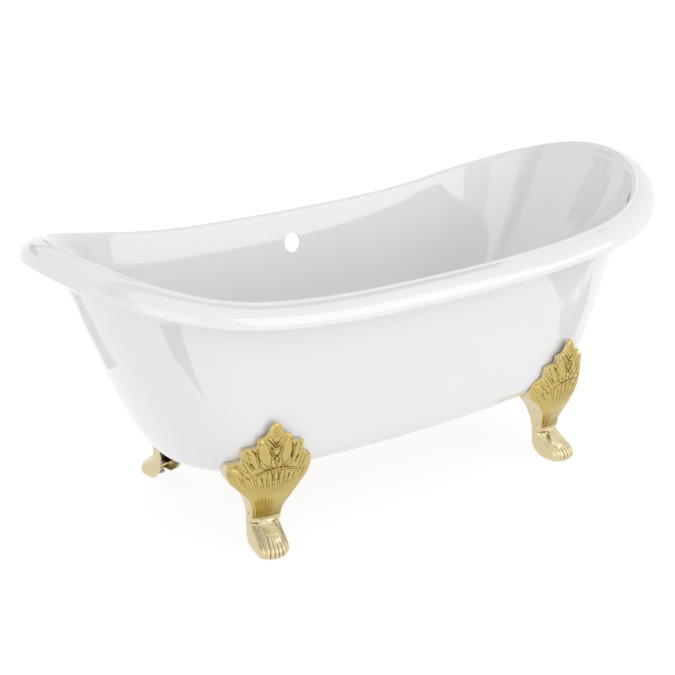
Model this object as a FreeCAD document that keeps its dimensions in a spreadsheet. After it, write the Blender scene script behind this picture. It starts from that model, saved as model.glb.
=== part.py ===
import FreeCAD, Part
import math
import os

from FreeCAD import Placement, Rotation, Vector

# A double-ended slipper bath on four claw feet.
# Frame: +X along the bath, +Y towards the overflow, +Z up, origin on the floor below the centre.

doc = FreeCAD.newDocument("clawfoot_bath")
sheet = doc.addObject("Spreadsheet::Sheet", "sizes")

UP = Vector(0, 0, 1)


def size_row(row, alias, value, note):
    """One driving dimension: its name, its value and what it is."""
    sheet.set("A%d" % row, note)
    sheet.set("B%d" % row, str(value))
    sheet.setAlias("B%d" % row, alias)


SIZES = [
    # the rim
    ("overall_length", 1750, "over the rolled rim, mm"),
    ("overall_width", 776, "over the rolled rim, mm"),
    ("end_height", 748, "floor to the crest of the rim at each end"),
    ("middle_height", 618.5, "floor to the crest of the rim at the middle"),
    ("sheer_share", 0.78, "share of the rise that follows the fourth power"),
    ("end_radius", 306, "plan radius of each end, at the inner wall line"),
    ("rim_overhang", 74, "inner wall line to the outside of the roll"),
    ("crest_offset", 19, "inner wall line to the crest of the bead"),
    ("valley_offset", 26.5, "inner wall line to the valley behind the bead"),
    ("valley_depth", 4, "crest to valley"),
    ("roll_drop", 47.5, "crest to the lower edge of the roll"),
    ("roll_wall", 5, "sheet thickness of the roll"),
    ("wall_top_drop", 42.5, "crest down to where the wall begins"),
    # the bowl
    ("foot_half_length", 573, "half length of the flat underside"),
    ("foot_half_width", 211, "half width of the flat underside"),
    ("foot_end_radius", 184.6, "plan radius of the underside's ends"),
    ("underside_height", 182.4, "floor to the flat underside"),
    ("side_heel_reach", 137, "outward pull of the side wall at the bottom"),
    ("end_heel_reach", 38, "outward pull of the end wall at the bottom"),
    ("side_lean", 15.8, "lean of the side wall at the top, degrees"),
    ("end_lean", 24, "lean of the end wall at the top, degrees"),
    ("side_top_reach", 247, "downward pull of the side wall at the top"),
    ("end_top_reach", 161, "downward pull of the end wall at the top"),
    ("skin_wall", 3.2, "outer skin thickness"),
    ("bond_gap", 0.6, "gap between the two skins"),
    ("shell_wall", 4.5, "inner shell thickness"),
    ("skin_top_drop", 25, "crest down to the top edge of the outer skin"),
    ("board_thickness", 18, "base board"),
    ("fit_gap", 0.3, "running and fitting gap"),
    # the water fittings' holes
    ("overflow_diameter", 52, "overflow hole"),
    ("overflow_height", 534, "floor to the overflow's centre"),
    ("waste_diameter", 52, "waste hole in the bowl's floor"),
    ("waste_access_diameter", 110, "hole in the base board round the waste"),
    # the claw feet, each in its own frame: r outwards, u across, z up
    ("foot_place_x", 447, "bath centre to the foot's axis, along the bath"),
    ("foot_place_y", 258, "bath centre to the foot's axis, across the bath"),
    ("toe_angle", 80, "angle between the toes and the bath's length, degrees"),
    ("casting_wall", 5, "wall of the casting"),
    ("leaf_radius", 140, "roundness of the leaf across its width"),
    ("leaf_front", 40, "foot axis to the front of the leaf"),
    ("leaf_top", 348, "floor to the tip of the leaf"),
    ("leaf_half_width", 103, "half width of the leaf at its widest"),
    ("leaf_widest_height", 236, "floor to the leaf's side tips"),
    ("ankle_height", 85, "floor to the narrowest part of the leg"),
    ("ankle_front", -11, "foot axis to the front of the ankle"),
    ("ankle_back", -46, "foot axis to the open back of the ankle"),
    ("ankle_half_width", 37, "half width of the ankle"),
    ("toe_reach", 51, "foot axis to the tip of the toes"),
    ("paw_half_width", 39, "half width of the paw"),
    ("toe_groove_radius", 2.6, "radius of the grooves between the toes"),
    ("toe_groove_depth", 1.8, "depth of those grooves at the tips of the toes"),
    # the lug that carries the bath, and its bolts
    ("lug_thickness", 8, "thickness of the lug under the base board"),
    ("lug_half_width", 28, "half width of the lug"),
    ("lug_reach", 185, "foot axis to the inner end of the lug"),
    ("rib_thickness", 7, "thickness of the rib under the lug"),
    ("rib_drop", 80, "height of the rib where it meets the leaf"),
    ("rib_clearance", 4, "outer washer to the end of the rib"),
    ("bolt_diameter", 10, "foot bolt"),
    ("bolt_head_flats", 17, "across the flats of the bolt's head"),
    ("bolt_head_height", 6.4, "height of the bolt's head"),
    ("bolt_grip", 12, "bolt's length inside the base board"),
    ("outer_bolt_reach", 115, "foot axis to the outer bolt"),
    ("bolt_pitch", 45, "outer bolt to inner bolt"),
    ("washer_diameter", 21, "washer under the bolt's head"),
    ("washer_thickness", 2, "washer under the bolt's head"),
    ("insert_diameter", 16, "threaded insert in the base board"),
    ("insert_length", 14, "threaded insert in the base board"),
    # the leveller inside each paw
    ("leveller_place", 9, "foot axis to the leveller"),
    ("web_height", 20, "floor to the underside of the web that holds the leveller"),
    ("web_thickness", 7, "thickness of that web"),
    ("web_reach", 12, "leveller to the rear edge of the web"),
    ("screw_diameter", 10, "levelling screw"),
    ("screw_length", 30, "threaded length of the levelling screw"),
    ("screw_stem_diameter", 7.4, "stem that turns in the pad"),
    ("screw_drive_flats", 7, "across the flats of the screw's drive end"),
    ("screw_drive_length", 6, "length of the drive end"),
    ("lock_nut_flats", 17, "across the flats of the lock nut"),
    ("lock_nut_height", 5, "height of the lock nut"),
    ("sole_lift", 0.6, "floor to the pad's sole with the leveller wound up"),
    ("sole_diameter", 18, "sole let into the pad's underside"),
    ("sole_thickness", 2, "sole"),
    ("sole_recess", 1.4, "depth of the sole's seat in the pad"),
    ("pad_diameter", 22, "pad"),
    ("pad_thickness", 4.8, "pad's disc"),
    ("pad_hub_diameter", 13, "hub round the screw's stem"),
    ("pad_height", 12.8, "pad's disc and hub together"),
    ("pad_floor", 3.1, "pad's underside to the foot of the stem's hole"),
]

for number, (alias, value, note) in enumerate(SIZES, start=1):
    size_row(number, alias, value, note)
doc.recompute()


def mm(alias):
    return float(sheet.get(alias))


# ---------------------------------------------------------------- the plan ovals

SIDE_STEPS = 4
END_STEPS = 7


def oval_quarter(half_length, half_width, radius):
    """Points and outward normals of a four-arc oval, from the middle of a side to an end."""
    side_radius = ((half_length - radius) ** 2 + half_width**2 - radius**2) / (2 * (half_width - radius))
    join = math.atan2(side_radius - half_width, half_length - radius)
    out = []
    for step in range(SIDE_STEPS):
        angle = math.pi / 2 + (join - math.pi / 2) * step / SIDE_STEPS
        normal = (math.cos(angle), math.sin(angle))
        out.append((side_radius * normal[0], half_width - side_radius + side_radius * normal[1], normal))
    for step in range(END_STEPS + 1):
        angle = join * (1 - step / END_STEPS)
        normal = (math.cos(angle), math.sin(angle))
        out.append((half_length - radius + radius * normal[0], radius * normal[1], normal))
    return out


def oval(half_length, half_width, radius):
    """The whole oval, anticlockwise from the end at +X, as (point, normal) pairs."""
    quarter = oval_quarter(half_length, half_width, radius)
    first = [(x, y, n) for x, y, n in reversed(quarter)]
    ring = list(first)
    ring += [(-x, y, (-n[0], n[1])) for x, y, n in reversed(first[:-1])]
    ring += [(-x, -y, (-n[0], -n[1])) for x, y, n in first[1:]]
    ring += [(x, -y, (n[0], -n[1])) for x, y, n in reversed(first[1:-1])]
    return [(Vector(x, y, 0), Vector(n[0], n[1], 0)) for x, y, n in ring]


inner_half_length = mm("overall_length") / 2 - mm("rim_overhang")
inner_half_width = mm("overall_width") / 2 - mm("rim_overhang")
rise = mm("end_height") - mm("middle_height")


def crest_height(x):
    share = min(1.0, abs(x) / inner_half_length)
    k = mm("sheer_share")
    return mm("middle_height") + rise * ((1 - k) * share**2 + k * share**4)


def crest_slope(x):
    share = min(1.0, abs(x) / inner_half_length)
    k = mm("sheer_share")
    grade = rise / inner_half_length * (2 * (1 - k) * share + 4 * k * share**3)
    return math.copysign(grade, x)


class Station:
    """One place round the bath: the rim's frame there, and the matching place on the underside."""

    def __init__(self, rim, foot):
        (point, self.out), (self.foot, self.foot_out) = rim, foot
        self.rim = Vector(point.x, point.y, crest_height(point.x))
        along = Vector(-self.out.y, self.out.x, -self.out.y * crest_slope(point.x))
        across = self.out.cross(along)
        self.over = across.normalize() if across.z > 0 else across.negative().normalize()
        self.endness = self.out.x**2


def make_stations():
    rim = oval(inner_half_length, inner_half_width, mm("end_radius"))
    foot = oval(mm("foot_half_length"), mm("foot_half_width"), mm("foot_end_radius"))
    return [Station(r, f) for r, f in zip(rim, foot)]


stations = make_stations()


def round_parameters():
    """One knot per station, spaced as the stations are along the rim."""
    knots = [0.0]
    for here, there in zip(stations, stations[1:] + stations[:1]):
        knots.append(knots[-1] + here.rim.distanceToPoint(there.rim))
    return knots


ROUND = round_parameters()

# ---------------------------------------------------------------- surfaces from rings


def ring_curve(points):
    curve = Part.BSplineCurve()
    curve.interpolate(Points=points, PeriodicFlag=True, Parameters=ROUND)
    return curve


def band(rings):
    """A smooth surface through closed rings, each a list with one point per station."""
    curves = [ring_curve(points) for points in rings]
    columns = list(zip(*[curve.getPoles() for curve in curves]))
    steps = [0.0]
    for low, high in zip(rings, rings[1:]):
        gap = sum(a.distanceToPoint(b) for a, b in zip(low, high)) / len(low)
        steps.append(steps[-1] + gap)
    spans = []
    for column in columns:
        span = Part.BSplineCurve()
        span.interpolate(Points=list(column), Parameters=steps)
        spans.append(span)
    surface = Part.BSplineSurface()
    surface.buildFromPolesMultsKnots(
        [span.getPoles() for span in spans],
        curves[0].getMultiplicities(),
        spans[0].getMultiplicities(),
        curves[0].getKnots(),
        spans[0].getKnots(),
        True,
        False,
        3,
        3,
    )
    u_low, u_high, v_low, v_high = surface.bounds()
    rows = surface.getVKnots()
    return [surface.toShape(u_low, u_high, low, high) for low, high in zip(rows, rows[1:])]


def ruled(low, high):
    """A straight strip between two rings."""
    surface = Part.BSplineSurface()
    first, second = ring_curve(low), ring_curve(high)
    surface.buildFromPolesMultsKnots(
        [list(pair) for pair in zip(first.getPoles(), second.getPoles())],
        first.getMultiplicities(),
        [2, 2],
        first.getKnots(),
        [0.0, 1.0],
        True,
        False,
        3,
        1,
    )
    return surface.toShape()


def flat(points):
    """The flat face inside a level ring."""
    return Part.Face(Part.Wire(ring_curve(points).toShape()))


def closed_solid(faces):
    shell = Part.makeShell(faces)
    shell.sewShape()
    solid = Part.makeSolid(shell)
    if solid.Volume < 0:
        solid.reverse()
    return solid


# ---------------------------------------------------------------- the section of the bath


def rim_ring(offset, drop):
    """A ring that keeps its place in the rim's section: outwards and down from the crest."""
    return [s.rim + s.out * offset - s.over * drop for s in stations]


wall_total = mm("skin_wall") + mm("bond_gap") + mm("shell_wall")


def wall_point(s, depth, floor_rise, share):
    """A point on the wall, depth inwards from the outside face, share of the way up."""
    heel = mm("side_heel_reach") + (mm("end_heel_reach") - mm("side_heel_reach")) * s.endness
    reach = mm("side_top_reach") + (mm("end_top_reach") - mm("side_top_reach")) * s.endness
    lean = math.radians(mm("side_lean") + (mm("end_lean") - mm("side_lean")) * s.endness)
    start = s.foot + UP * (mm("underside_height") + floor_rise)
    end = s.rim + s.out * (wall_total - depth) - s.over * mm("wall_top_drop")
    first = start + s.foot_out * heel
    second = end - (s.out * math.sin(lean) + UP * math.cos(lean)) * reach
    a, b = 1 - share, share
    return start * a**3 + first * (3 * a * a * b) + second * (3 * a * b * b) + end * b**3


def wall_ring(depth, floor_rise, share):
    return [wall_point(s, depth, floor_rise, share) for s in stations]


def back_wall_at(height):
    """Where the outside face of the back wall is at a height, and its outward direction there."""
    middle = max(stations, key=lambda s: s.rim.y)
    low, high = 0.0, 1.0
    while high - low > 1e-6:
        share = (low + high) / 2
        if wall_point(middle, 0, 0, share).z < height:
            low = share
        else:
            high = share
    along = wall_point(middle, 0, 0, low + 0.01) - wall_point(middle, 0, 0, low - 0.01)
    return wall_point(middle, 0, 0, low), Vector(0, along.z, -along.y).normalize()


WALL_SHARES = [0, 0.08, 0.18, 0.3, 0.42, 0.55, 0.68, 0.8, 0.9, 0.96, 1.0]


def wall_rings(depth, floor_rise):
    return [wall_ring(depth, floor_rise, share) for share in WALL_SHARES]


def neck_rings(depth, offset, drop, shares, pull):
    """Rings that carry the wall's lean over into the level top of the rim's section."""
    rings = []
    for share in shares:
        ring = []
        a, b = 1 - share, share
        for s in stations:
            lean = math.radians(mm("side_lean") + (mm("end_lean") - mm("side_lean")) * s.endness)
            start = (wall_total - depth, -mm("wall_top_drop"))
            first = (start[0] + math.sin(lean) * pull, start[1] + math.cos(lean) * pull)
            end = (offset, -drop)
            second = (offset - pull * 0.45, -drop)
            weights = (a**3, 3 * a * a * b, 3 * a * b * b, b**3)
            outward = sum(w * p[0] for w, p in zip(weights, (start, first, second, end)))
            upward = sum(w * p[1] for w, p in zip(weights, (start, first, second, end)))
            ring.append(s.rim + s.out * outward + s.over * upward)
        rings.append(ring)
    return rings


def roll_rings(inset, steps):
    """The roll, from the valley out and down to its lower edge, inset from the outside."""
    reach = mm("rim_overhang") - mm("valley_offset") - inset
    depth = mm("roll_drop") - mm("valley_depth") - inset
    rings = []
    for step in range(steps + 1):
        turn = math.pi / 2 * step / steps
        offset = mm("valley_offset") + reach * math.sin(turn)
        rings.append(rim_ring(offset, mm("roll_drop") - depth * math.cos(turn)))
    return rings


def make_inner_shell():
    board_top = mm("board_thickness")
    inner = wall_rings(wall_total, board_top + mm("shell_wall"))
    inner += neck_rings(wall_total, mm("crest_offset"), 0, (0.35, 0.7, 1.0), 20)
    middle = (mm("crest_offset") + mm("valley_offset")) / 2
    inner.append(rim_ring(middle, mm("valley_depth") * 0.25))
    valley = rim_ring(mm("valley_offset"), mm("valley_depth"))
    inner.append(valley)
    roll = roll_rings(0, 6)
    under = roll_rings(mm("roll_wall"), 6)
    back = wall_rings(mm("skin_wall") + mm("bond_gap"), board_top)
    behind = mm("skin_wall") + mm("bond_gap")
    neck = neck_rings(behind, mm("crest_offset") + 1, mm("roll_wall") + 3, (0.35, 0.7, 1.0), 20)
    faces = [flat(inner[0]), flat(back[0]), ruled(roll[-1], under[-1])]
    faces += band(inner) + band(roll) + band(back + neck + under)
    return closed_solid(faces)


def make_outer_skin():
    """The outer skin: open at the bottom round the base board, and tucked up under the roll."""
    lap = mm("wall_top_drop") - mm("skin_top_drop")
    outer = wall_rings(0, 0) + lap_rings(wall_total, lap)
    inner = wall_rings(mm("skin_wall"), mm("skin_wall")) + lap_rings(wall_total - mm("skin_wall"), lap)
    faces = [ruled(outer[0], inner[0]), ruled(outer[-1], inner[-1])]
    return closed_solid(faces + band(outer) + band(inner))


def lap_rings(offset, lap):
    """Rings that carry a face of the outer skin straight on, up under the roll."""
    rings = []
    for length in (lap / 2, lap):
        ring = []
        for s in stations:
            lean = math.radians(mm("side_lean") + (mm("end_lean") - mm("side_lean")) * s.endness)
            start = s.rim + s.out * offset - s.over * mm("wall_top_drop")
            ring.append(start + (s.out * math.sin(lean) + s.over * math.cos(lean)) * length)
        rings.append(ring)
    return rings


def make_bath_envelope():
    """Everything inside the outside face of the bath, with the fitting gap, for trimming the feet."""
    wall = wall_rings(-mm("fit_gap"), 0)
    above = mm("end_height") + mm("roll_drop")
    lid = [Vector(point.x, point.y, above) for point in wall[-1]]
    return closed_solid([flat(wall[0]), flat(lid), ruled(wall[-1], lid)] + band(wall))


def upright_cylinder(diameter, low, high, x=0.0, y=0.0):
    return Part.makeCylinder(diameter / 2, high - low, Vector(x, y, low))


# ---------------------------------------------------------------- where the feet and their fixings go

FEET = {
    "front_left": (-1, -1),
    "front_right": (1, -1),
    "back_left": (-1, 1),
    "back_right": (1, 1),
}


def foot_placement(corner):
    along, across = FEET[corner]
    toe = math.radians(mm("toe_angle"))
    turn = math.degrees(math.atan2(across * math.sin(toe), along * math.cos(toe)))
    place = Vector(along * mm("foot_place_x"), across * mm("foot_place_y"), 0)
    return Placement(place, Rotation(UP, turn))


def foot_point(corner, reach, height):
    return foot_placement(corner).multVec(Vector(reach, 0, height))


def bolt_reaches():
    return (-mm("outer_bolt_reach"), -mm("outer_bolt_reach") - mm("bolt_pitch"))


def at_every_bolt(shape, height):
    """One copy of a small part at each bolt of each foot."""
    copies = []
    for corner in FEET:
        for reach in bolt_reaches():
            copy = shape.copy()
            copy.Placement = Placement(foot_point(corner, reach, height), foot_placement(corner).Rotation)
            copies.append(copy)
    return Part.makeCompound(copies)


# ---------------------------------------------------------------- the base board


def oval_face(half_length, half_width, radius, height):
    """A flat oval of four true arcs."""
    side_radius = ((half_length - radius) ** 2 + half_width**2 - radius**2) / (2 * (half_width - radius))
    join = math.atan2(side_radius - half_width, half_length - radius)
    end = Vector(half_length - radius + radius * math.cos(join), radius * math.sin(join), height)
    corners = [end, Vector(-end.x, end.y, height), Vector(-end.x, -end.y, height), Vector(end.x, -end.y, height)]
    middles = [
        Vector(0, half_width, height),
        Vector(-half_length, 0, height),
        Vector(0, -half_width, height),
        Vector(half_length, 0, height),
    ]
    edges = []
    for start, middle, finish in zip(corners, middles, corners[1:] + corners[:1]):
        edges.append(Part.Arc(start, middle, finish).toShape())
    return Part.Face(Part.Wire(edges))


def make_base_board():
    low = mm("underside_height")
    gap = mm("fit_gap")
    face = oval_face(
        mm("foot_half_length") - gap, mm("foot_half_width") - gap, mm("foot_end_radius") - gap, low
    )
    board = face.extrude(UP * mm("board_thickness"))
    board = board.cut(upright_cylinder(mm("waste_access_diameter"), low - 1, low + mm("board_thickness") + 1))
    pocket = upright_cylinder(mm("insert_diameter"), 0, mm("insert_length"))
    return board.cut(at_every_bolt(pocket, low))


# ---------------------------------------------------------------- the claw foot


def leaf_outline():
    """Half of the leaf's outline, from the tip down one side to the ankle, as (u, z) points."""
    top, wide, level = mm("leaf_top"), mm("leaf_half_width"), mm("leaf_widest_height")
    ankle, half = mm("ankle_height"), mm("ankle_half_width")
    crown = top - level
    stem = level - ankle
    return [
        (0, top),
        (wide * 0.13, level + crown * 0.9),
        (wide * 0.21, level + crown * 0.69),
        (wide * 0.42, level + crown * 0.63),
        (wide * 0.42, level + crown * 0.46),
        (wide * 0.74, level + crown * 0.4),
        (wide * 0.75, level + crown * 0.13),
        (wide, level),
        (wide * 0.98, level - stem * 0.15),
        (wide * 0.87, level - stem * 0.31),
        (wide * 0.69, level - stem * 0.45),
        (wide * 0.52, level - stem * 0.61),
        (wide * 0.41, level - stem * 0.78),
        (half, level - stem * 0.93),
        (half, ankle - 5),
    ]


def leaf_prism(inset):
    """The leaf's outline pushed straight through, or a smaller one for the hollow behind it."""
    level = mm("leaf_widest_height")
    half = []
    for u, z in leaf_outline():
        drop = 1.5 * inset if z > level else 0
        half.append((max(0, u - 1.3 * inset), z - drop))
    points = [Vector(-200, u, z) for u, z in half]
    points += [Vector(-200, -u, z) for u, z in reversed(half) if u > 0]
    return Part.Face(Part.makePolygon(points + points[:1])).extrude(Vector(300, 0, 0))


LEAF_FRONT = [  # height above the ankle as a share of the leaf, and front as a share of its reach
    (-0.02, 0.0),
    (0.08, 0.1),
    (0.18, 0.38),
    (0.3, 0.66),
    (0.45, 0.88),
    (0.62, 1.0),
    (0.82, 1.0),
    (1.04, 0.88),
]


def leaf_block(inset):
    """The leaf's rounded front, before it is cut to its outline."""
    ankle, top = mm("ankle_height"), mm("leaf_top")
    near, far = mm("ankle_front"), mm("leaf_front")
    radius = mm("leaf_radius")
    half = radius * 0.86
    depth = radius - math.sqrt(radius**2 - half**2)
    sections = []
    for share_up, share_out in LEAF_FRONT:
        front = near + (far - near) * share_out - inset
        sections.append(u_section(-200, front, half, depth, ankle + (top - ankle) * share_up))
    return Part.makeLoft(sections, True, False)


def u_section(back, front, half, round_depth, z):
    """A level section: rounded in front, straight sides, straight across the back."""
    edge = front - round_depth
    left, right = Vector(edge, half, z), Vector(edge, -half, z)
    arc = Part.Arc(right, Vector(front, 0, z), left).toShape()
    back_left, back_right = Vector(back, half, z), Vector(back, -half, z)
    lines = [
        Part.makeLine(left, back_left),
        Part.makeLine(back_left, back_right),
        Part.makeLine(back_right, right),
    ]
    return Part.Wire([arc] + lines)


def leg_rows():
    """Leg and paw as level sections: height, back, front and half width."""
    back, front, half = mm("ankle_back"), mm("ankle_front"), mm("ankle_half_width")
    toe, paw, ankle = mm("toe_reach"), mm("paw_half_width"), mm("ankle_height")
    rows = [
        (-0.02, -6, toe - 12, paw - 8),
        (0.07, -16, toe - 3, paw - 3),
        (0.18, -28, toe, paw),
        (0.33, -38, toe - 4, paw),
        (0.48, back + 1, toe - 17, paw - 1),
        (0.64, back - 4, front + 27, half + 0.5),
        (0.82, back - 6, front + 8, half),
        (1.0, back - 6, front - 1, half),
        (1.3, back - 6, front + 2, half + 3),
        (1.6, back - 6, front + 10, half + 10),
    ]
    return [(ankle * share, low, high, side) for share, low, high, side in rows]


def front_depth(side):
    """How far the rounded front of the leg goes back over its half width."""
    return 0.55 * side


def leg_block(inset):
    """Leg and paw, or the hollow inside them, which runs out through the back."""
    sections = []
    for z, low, high, side in leg_rows():
        rear = low - 100 if inset else low
        sections.append(u_section(rear, high - inset, side - inset, front_depth(side - inset), z))
    return Part.makeLoft(sections, True, False)


TOE_GROOVES = (-0.67, -0.4, -0.135, 0.135, 0.4, 0.67)  # places across the paw, as shares of its half width
GROOVE_FADE = (1.0, 1.0, 1.0, 0.9, 0.7, 0.3)  # depth in each section of the paw, from the floor to the instep


def toe_groove(place):
    """The cutter for one groove: it follows the paw's front and fades out on the instep."""
    circles = []
    radius = mm("toe_groove_radius")
    for fade, (z, low, high, side) in zip(GROOVE_FADE, leg_rows()):
        depth = front_depth(side)
        bend = (side**2 + depth**2) / (2 * depth)
        turn = math.asin(place * side / bend)
        reach = bend + radius - mm("toe_groove_depth") * fade
        centre = Vector(high - bend + reach * math.cos(turn), reach * math.sin(turn), z)
        circles.append(Part.Wire(Part.makeCircle(radius, centre)))
    return Part.makeLoft(circles, True, False)


def make_foot_blank():
    """One casting in its own frame, before it is trimmed to the bath."""
    wall = mm("casting_wall")
    leaf = leaf_block(0).common(leaf_prism(0))
    leg = leg_block(0).cut([toe_groove(place) for place in TOE_GROOVES])
    in_front_of_back_edge = Part.makeBox(500, 500, 500, Vector(mm("ankle_back"), -250, 0))
    outside = leaf.fuse(leg).common(in_front_of_back_edge)
    hollow = leaf_block(wall).common(leaf_prism(wall)).fuse(leg_block(wall))
    casting = outside.cut(hollow)

    under = mm("underside_height")
    lug = Part.makeBox(
        mm("lug_reach") + mm("leaf_front"),
        2 * mm("lug_half_width"),
        mm("lug_thickness"),
        Vector(-mm("lug_reach"), -mm("lug_half_width"), under - mm("lug_thickness")),
    )
    thick = mm("rib_thickness")
    rib_top = under - mm("lug_thickness")
    rib_end = -mm("outer_bolt_reach") + mm("washer_diameter") / 2 + mm("rib_clearance")
    rib_points = [
        Vector(mm("leaf_front"), -thick / 2, rib_top),
        Vector(rib_end, -thick / 2, rib_top),
        Vector(mm("ankle_back"), -thick / 2, rib_top - mm("rib_drop") * 0.5),
        Vector(mm("ankle_front"), -thick / 2, rib_top - mm("rib_drop")),
        Vector(mm("leaf_front"), -thick / 2, rib_top - mm("rib_drop")),
    ]
    rib = Part.Face(Part.makePolygon(rib_points + rib_points[:1])).extrude(Vector(0, thick, 0))
    web_back = mm("leveller_place") - mm("web_reach")
    web = Part.makeBox(160, 160, mm("web_thickness"), Vector(web_back, -80, mm("web_height")))
    behind = Part.makeBox(400, 400, 400, Vector(-400 + mm("ankle_front"), -200, 0))
    inside = outside.fuse(behind)
    casting = casting.fuse([lug.common(inside), rib.common(inside), web.common(outside)])

    gap = mm("fit_gap")
    for reach in bolt_reaches():
        casting = casting.cut(upright_cylinder(mm("bolt_diameter") + 1, under - 20, under + 1, reach, 0))
    bore = upright_cylinder(mm("screw_diameter") + 2 * gap, 1, 2 * mm("web_height"), mm("leveller_place"), 0)
    return casting.cut(bore).removeSplitter()


# ---------------------------------------------------------------- the sub-parts with their own features

nodes = {}


def keep(label, obj):
    obj.Label = label
    nodes[label] = obj
    return obj


def shape_node(label, shape):
    """A sub-part whose shape is worked out above from the sheet."""
    obj = doc.addObject("Part::Feature", label)
    obj.Shape = shape
    return keep(label, obj)


def bound(kind, name, **expressions):
    """A primitive whose sizes are bound to the sheet."""
    obj = doc.addObject(kind, name)
    for prop, expression in expressions.items():
        obj.setExpression(prop.replace("_", "."), expression)
    return obj


def hexagon(name, flats, height):
    prism = bound("Part::Prism", name, Circumradius="(" + flats + ") / 2 / cos(30)", Height=height)
    prism.Polygon = 6
    return prism


def round_bar(name, diameter, height):
    return bound("Part::Cylinder", name, Radius="(" + diameter + ") / 2", Height=height)


def combined(kind, name, base, tool):
    obj = doc.addObject(kind, name)
    obj.Base = base
    obj.Tool = tool
    return obj


def lift(obj, expression):
    obj.setExpression("Placement.Base.z", expression)
    return obj


# foot bolt: head down, shank up through the lug into the insert
head = lift(hexagon("bolt_head", "sizes.bolt_head_flats", "sizes.bolt_head_height"), "-sizes.bolt_head_height")
shank = round_bar(
    "bolt_shank", "sizes.bolt_diameter", "sizes.washer_thickness + sizes.lug_thickness + sizes.bolt_grip"
)
bolt = combined("Part::Fuse", "bolt", head, shank)

# washer between the bolt's head and the lug
washer_disc = round_bar("washer_disc", "sizes.washer_diameter", "sizes.washer_thickness")
washer_hole = round_bar("washer_hole", "sizes.bolt_diameter + 2 * sizes.fit_gap", "sizes.washer_thickness")
washer = combined("Part::Cut", "washer", washer_disc, washer_hole)

# threaded insert, let into the base board from below
insert_body = round_bar("insert_body", "sizes.insert_diameter", "sizes.insert_length")
insert_hole = round_bar("insert_hole", "sizes.bolt_diameter", "sizes.insert_length")
insert = combined("Part::Cut", "insert", insert_body, insert_hole)

# lock nut on the levelling screw, above the web
nut_body = hexagon("nut_body", "sizes.lock_nut_flats", "sizes.lock_nut_height")
nut_hole = round_bar("nut_hole", "sizes.screw_diameter + 2 * sizes.fit_gap", "sizes.lock_nut_height")
nut = combined("Part::Cut", "nut", nut_body, nut_hole)

# levelling screw: a stem that turns in the pad, the thread, and a drive end
stem = round_bar("screw_stem", "sizes.screw_stem_diameter", "sizes.pad_height - sizes.pad_floor")
thread = lift(
    round_bar("screw_thread", "sizes.screw_diameter", "sizes.screw_length"), "sizes.pad_height - sizes.pad_floor"
)
drive = lift(
    hexagon("screw_drive", "sizes.screw_drive_flats", "sizes.screw_drive_length"),
    "sizes.pad_height - sizes.pad_floor + sizes.screw_length",
)
stem_and_thread = combined("Part::Fuse", "stem_and_thread", stem, thread)
screw = combined("Part::Fuse", "levelling_screw", stem_and_thread, drive)

# pad: a disc and a hub with a blind hole for the stem
disc = round_bar("pad_disc", "sizes.pad_diameter", "sizes.pad_thickness")
hub = round_bar("pad_hub", "sizes.pad_hub_diameter", "sizes.pad_height")
socket = lift(
    round_bar("pad_socket", "sizes.screw_stem_diameter + 2 * sizes.fit_gap", "sizes.pad_height"), "sizes.pad_floor"
)
seat = round_bar("sole_seat", "sizes.sole_diameter + 2 * sizes.fit_gap", "sizes.sole_recess")
pad_solid = combined("Part::Fuse", "pad_solid", disc, hub)
pad_with_socket = combined("Part::Cut", "pad_with_socket", pad_solid, socket)
pad = combined("Part::Cut", "levelling_pad", pad_with_socket, seat)

# soft sole, let into the pad's underside
sole = round_bar("pad_sole", "sizes.sole_diameter", "sizes.sole_thickness")

doc.recompute()

# ---------------------------------------------------------------- the assembly


def bored_shells():
    """Both skins with the overflow hole through the back wall and the waste hole through the floor."""
    radius = mm("overflow_diameter") / 2
    place, outward = back_wall_at(mm("overflow_height"))
    overflow = Part.makeCylinder(radius, 2 * radius, place - outward * radius, outward)
    waste = upright_cylinder(mm("waste_diameter"), mm("underside_height") - 1, mm("middle_height"))
    return make_inner_shell().cut([overflow, waste]), make_outer_skin().cut(overflow)


inner_shell, outer_skin = bored_shells()
shape_node("inner_shell", inner_shell)
shape_node("outer_skin", outer_skin)
shape_node("base_board", make_base_board())

blank = make_foot_blank()
envelope = make_bath_envelope()
for corner in FEET:
    casting = blank.copy()
    casting.Placement = foot_placement(corner)
    shape_node("claw_foot_" + corner, casting.cut(envelope))

under = mm("underside_height")
lug_under = under - mm("lug_thickness")
shape_node("foot_bolts", at_every_bolt(bolt.Shape, lug_under - mm("washer_thickness")))
shape_node("foot_washers", at_every_bolt(washer.Shape, lug_under - mm("washer_thickness")))
shape_node("board_inserts", at_every_bolt(insert.Shape, under))


def at_leveller(shape, corner, height):
    copy = shape.copy()
    copy.Placement = Placement(foot_point(corner, mm("leveller_place"), height), foot_placement(corner).Rotation)
    return copy


nut_height = mm("web_height") + mm("web_thickness")
shape_node("lock_nuts", Part.makeCompound([at_leveller(nut.Shape, corner, nut_height) for corner in FEET]))
pad_height = mm("sole_lift") + mm("sole_thickness") - mm("sole_recess")
stem_height = pad_height + mm("pad_floor") + mm("fit_gap")
for corner in FEET:
    shape_node("pad_sole_" + corner, at_leveller(sole.Shape, corner, mm("sole_lift")))
    shape_node("levelling_pad_" + corner, at_leveller(pad.Shape, corner, pad_height))
    shape_node("levelling_screw_" + corner, at_leveller(screw.Shape, corner, stem_height))

doc.recompute()
for obj in doc.Objects:
    if "Invalid" in obj.State or "Error" in obj.State:
        raise RuntimeError("%s did not build: %s" % (obj.Label, obj.State))
for label, obj in nodes.items():
    if obj.Shape.isNull() or not obj.Shape.isValid():
        raise RuntimeError("%s has no valid shape" % label)

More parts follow.
